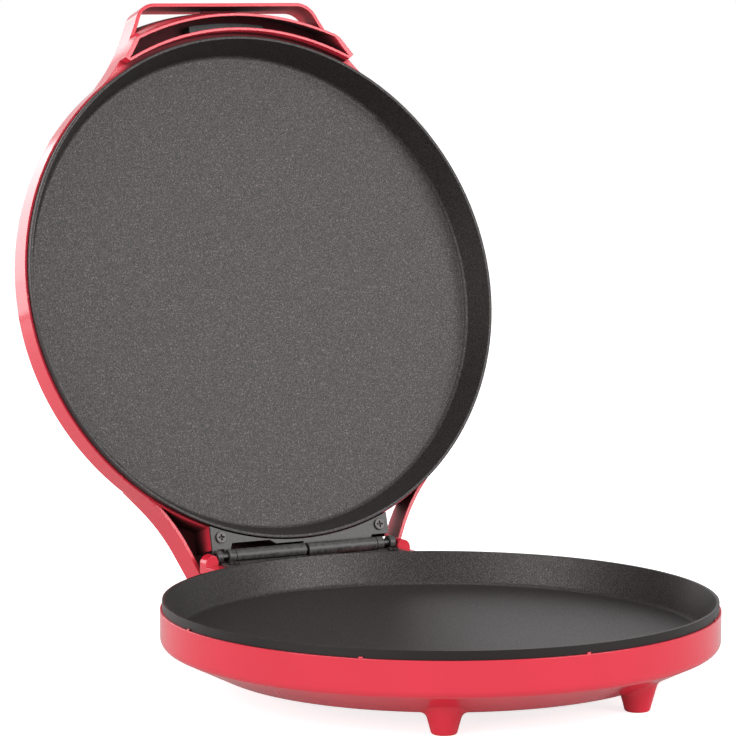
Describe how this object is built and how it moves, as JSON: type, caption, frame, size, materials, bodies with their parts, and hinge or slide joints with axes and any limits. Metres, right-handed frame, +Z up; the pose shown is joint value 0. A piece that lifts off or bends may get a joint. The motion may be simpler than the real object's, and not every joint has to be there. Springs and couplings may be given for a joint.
{
  "type": "electric pizza maker",
  "caption": "Round countertop pizza cooker: two shallow non-stick pans in moulded housings, joined by a rear hinge, with a front grip on the lid.",
  "frame": {"origin": "on the table, under the middle of the open machine's bounding box", "axes": "+Z up, square to the lower pan's floor; -Y is the front, towards the user; +X to the user's right, along the hinge pin"},
  "size_m": [0.3224, 0.4566, 0.3892],
  "materials": {
    "red_plastic": "high gloss moulded red plastic",
    "non_stick_pan": "cast aluminium with a speckled dark grey non-stick coating",
    "element_sheath": "oxidised steel tube",
    "clip_steel": "zinc plated sheet steel",
    "shield_sheet": "plain rolled sheet",
    "screw_steel": "zinc plated steel",
    "hinge_screw_steel": "black oxide steel",
    "hinge_black": "satin black coated sheet steel",
    "pin_steel": "drawn steel wire",
    "thermostat_body": "moulded phenolic",
    "fuse_sleeve": "woven glass sleeve",
    "terminal_plastic": "moulded polyamide",
    "lead_insulation": "silicone wire insulation",
    "grommet_rubber": "moulded rubber",
    "carrier_grey": "moulded grey plastic",
    "lamp_glass": "clear glass bulb",
    "red_lens": "translucent red plastic",
    "green_lens": "translucent green plastic"
  },
  "bodies": {
    "base": {"base_housing": "red_plastic", "lower_pan": "non_stick_pan", "lower_heating_element": "element_sheath", "lower_element_clips": "clip_steel", "lower_heat_shield": "shield_sheet", "lower_pan_screws": "screw_steel", "base_leaf_screws": "hinge_screw_steel", "base_hinge_leaf": "hinge_black", "hinge_pin": "pin_steel", "thermostat": "thermostat_body", "thermal_fuse": "fuse_sleeve", "terminal_block": "terminal_plastic", "base_wiring": "lead_insulation", "cord_grommet": "grommet_rubber"},
    "lid": {"lid_housing": "red_plastic", "upper_pan": "non_stick_pan", "upper_heating_element": "element_sheath", "upper_element_clips": "clip_steel", "upper_heat_shield": "shield_sheet", "upper_shield_screws": "screw_steel", "lid_hinge_leaf": "hinge_black", "lid_leaf_screws": "hinge_screw_steel", "power_lamp_lens": "red_lens", "ready_lamp_lens": "green_lens", "power_lamp": "lamp_glass", "ready_lamp": "lamp_glass", "lamp_carrier": "carrier_grey", "lid_wiring": "lead_insulation"}
  },
  "joints": [
    {"name": "lid_hinge", "type": "hinge", "parent": "base", "child": "lid", "pos_m": [0, 0.1027, 0.054], "axis": [1, 0, 0], "range_deg": [0, 106.2]}
  ]
}
